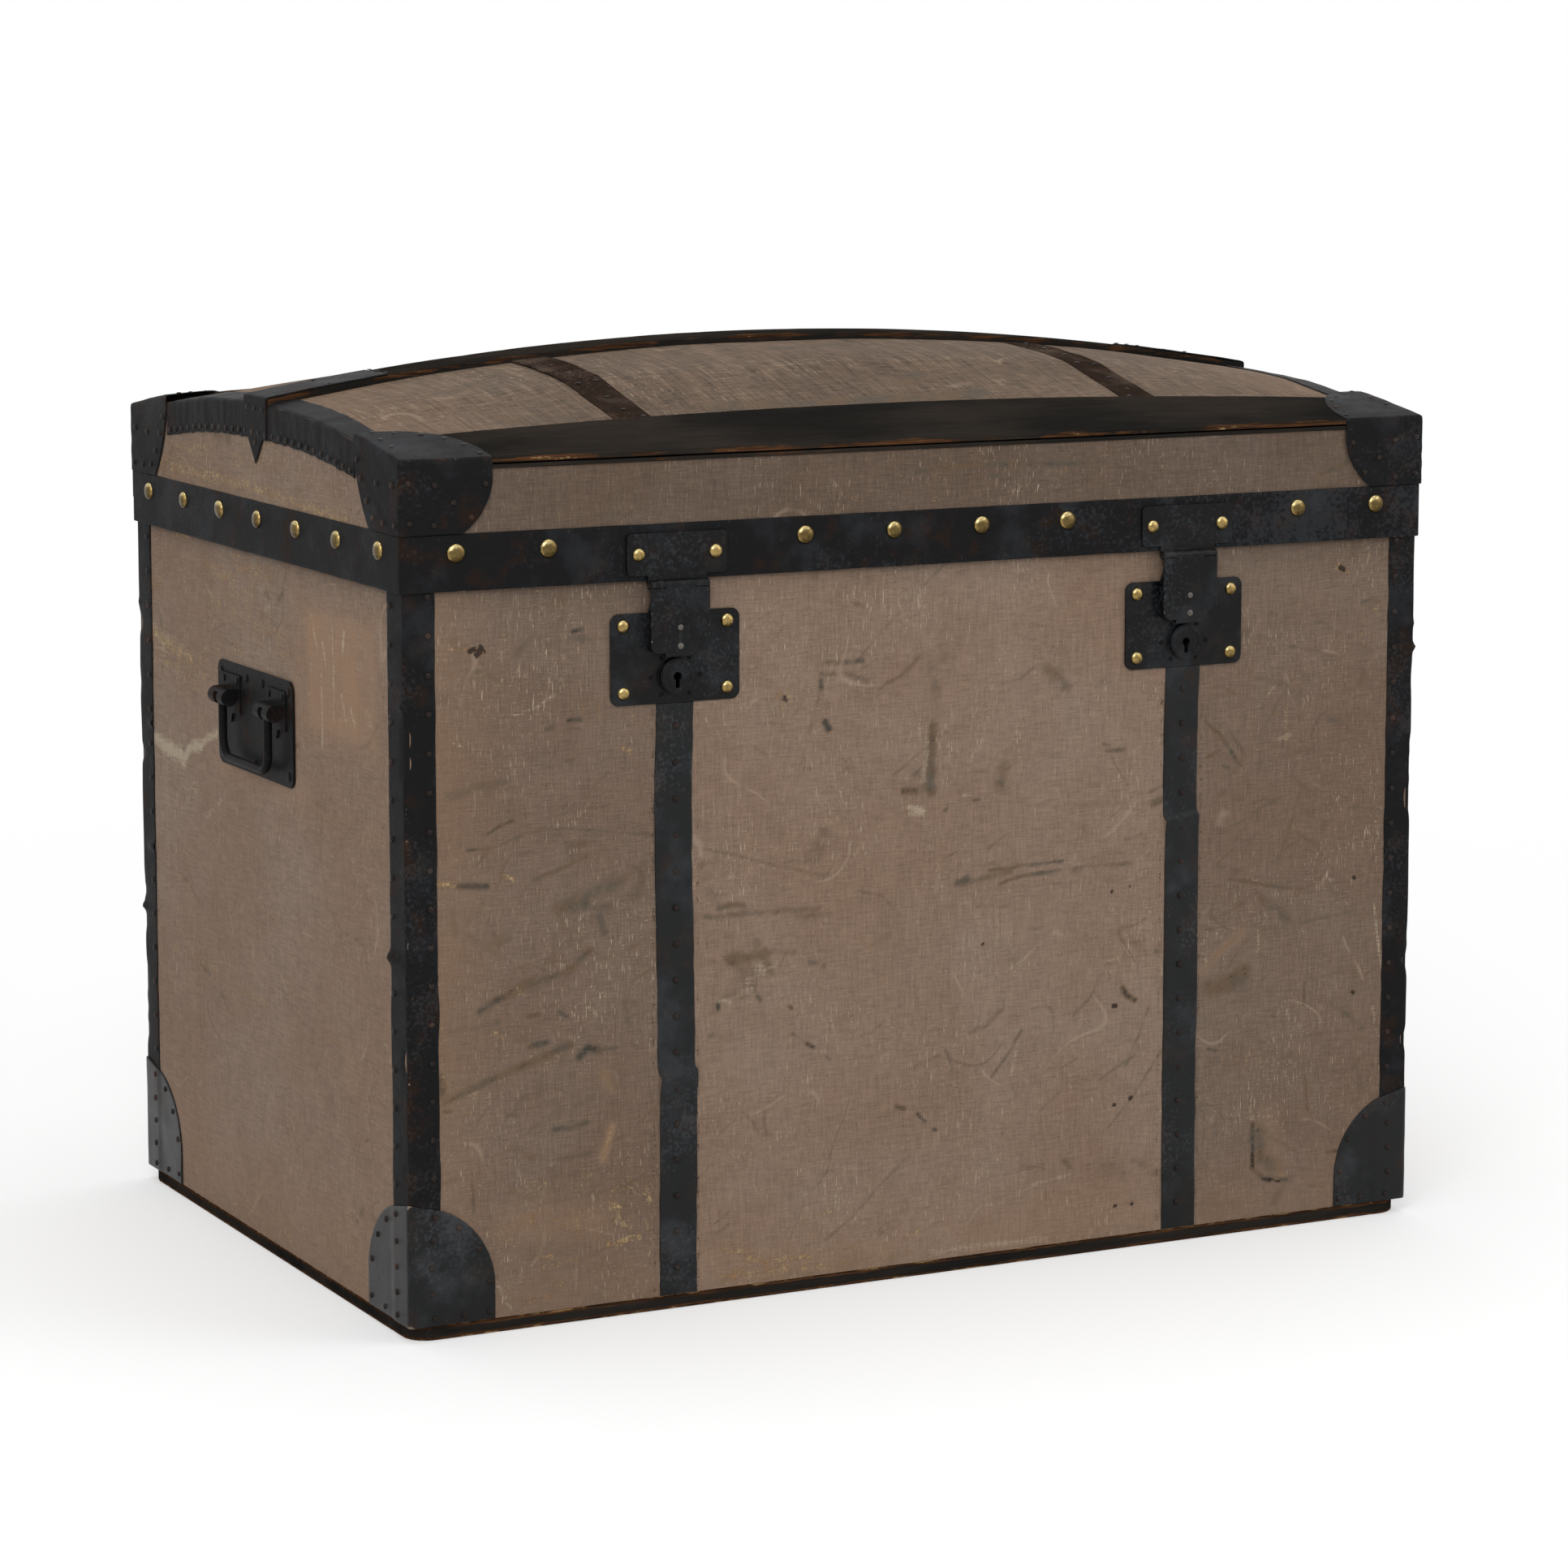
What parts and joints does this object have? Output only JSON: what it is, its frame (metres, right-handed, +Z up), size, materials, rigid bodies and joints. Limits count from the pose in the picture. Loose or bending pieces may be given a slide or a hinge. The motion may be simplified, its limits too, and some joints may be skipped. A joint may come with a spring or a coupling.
{
  "type": "dome top trunk",
  "caption": "Dome top travelling trunk of canvas-covered boards with a hinged lid, metal band and corners, wooden slats, hasp locks and end handles.",
  "frame": {"origin": "middle of the footprint, on the surface that the trunk stands on", "axes": "+X runs along the front to the right hand lock, -Y is the front with the locks, +Z is up"},
  "size_m": [0.9422, 0.6184, 0.7435],
  "materials": {
    "painted_canvas": "matte painted canvas, worn",
    "black_tin": "worn black lacquer",
    "lock_japan": "worn black lacquer",
    "brown_strap": "worn brown black lacquer",
    "painted_slat": "black paint worn to the wood at the edges",
    "pine_board": "bare sawn",
    "lining_paper": "matte",
    "brass_head": "aged",
    "handle_iron": "black lacquered iron, worn",
    "lock_steel": "dull",
    "steel_pin": "dull"
  },
  "bodies": {
    "trunk": {"back_board": "pine_board", "back_straps": "black_tin", "base_batten_back": "painted_slat", "base_batten_front": "painted_slat", "base_battens_side": "painted_slat", "body_canvas": "painted_canvas", "body_lining": "lining_paper", "bottom_board": "pine_board", "corner_guard_back_left": "black_tin", "corner_guard_back_right": "black_tin", "corner_guard_front_left": "black_tin", "corner_guard_front_right": "black_tin", "corner_strip_back_left": "black_tin", "corner_strip_back_right": "black_tin", "corner_strip_front_left": "black_tin", "corner_strip_front_right": "black_tin", "front_board": "pine_board", "front_strap_left": "black_tin", "front_strap_right": "black_tin", "handle_loops": "handle_iron", "handle_plates": "handle_iron", "hinge_lower_leaves": "black_tin", "hinge_pins": "steel_pin", "left_end_board": "pine_board", "lock_cases": "lock_steel", "lock_nails": "brass_head", "lock_plate_left": "lock_japan", "lock_plate_right": "lock_japan", "right_end_board": "pine_board"},
    "lid": {"brass_studs": "brass_head", "dome_boards": "pine_board", "end_rim_left": "black_tin", "end_rim_right": "black_tin", "hasp_nails": "brass_head", "hasp_pins": "steel_pin", "hasp_plates": "lock_japan", "hinge_upper_leaves": "black_tin", "lid_back_board": "pine_board", "lid_band_back": "black_tin", "lid_band_ends": "black_tin", "lid_band_front": "black_tin", "lid_canvas": "painted_canvas", "lid_caps_back": "black_tin", "lid_caps_front": "black_tin", "lid_front_board": "pine_board", "lid_left_end_board": "pine_board", "lid_lining": "lining_paper", "lid_right_end_board": "pine_board", "ridge_clips": "black_tin", "slat_back": "painted_slat", "slat_front": "painted_slat", "slat_ridge": "painted_slat", "top_straps": "brown_strap"},
    "hasp_left": {"hasp_left": "lock_japan"},
    "hasp_right": {"hasp_right": "lock_japan"},
    "bail_left": {"bail_left": "handle_iron"},
    "bail_right": {"bail_right": "handle_iron"},
    "lock_bolt_left": {"lock_bolt_left": "lock_steel"},
    "lock_bolt_right": {"lock_bolt_right": "lock_steel"}
  },
  "joints": [
    {"name": "lid_hinge", "type": "hinge", "parent": "trunk", "child": "lid", "pos_m": [0, 0.3056, 0.598], "axis": [-1, 0, 0], "range_deg": [0, 100]},
    {"name": "hasp_left_hinge", "type": "hinge", "parent": "lid", "child": "hasp_left", "pos_m": [-0.229, -0.3056, 0.5735], "axis": [-1, 0, 0], "range_deg": [0, 145]},
    {"name": "hasp_right_hinge", "type": "hinge", "parent": "lid", "child": "hasp_right", "pos_m": [0.229, -0.3056, 0.5735], "axis": [-1, 0, 0], "range_deg": [0, 145]},
    {"name": "bail_left_swing", "type": "hinge", "parent": "trunk", "child": "bail_left", "pos_m": [-0.4641, 0.016, 0.455], "axis": [0, 1, 0], "range_deg": [0, 90]},
    {"name": "bail_right_swing", "type": "hinge", "parent": "trunk", "child": "bail_right", "pos_m": [0.4641, 0.016, 0.455], "axis": [0, -1, 0], "range_deg": [0, 90]},
    {"name": "lock_bolt_left_throw", "type": "slide", "parent": "trunk", "child": "lock_bolt_left", "axis": [1, 0, 0], "range_m": [0, 0.009]},
    {"name": "lock_bolt_right_throw", "type": "slide", "parent": "trunk", "child": "lock_bolt_right", "axis": [-1, 0, 0], "range_m": [0, 0.009]}
  ]
}
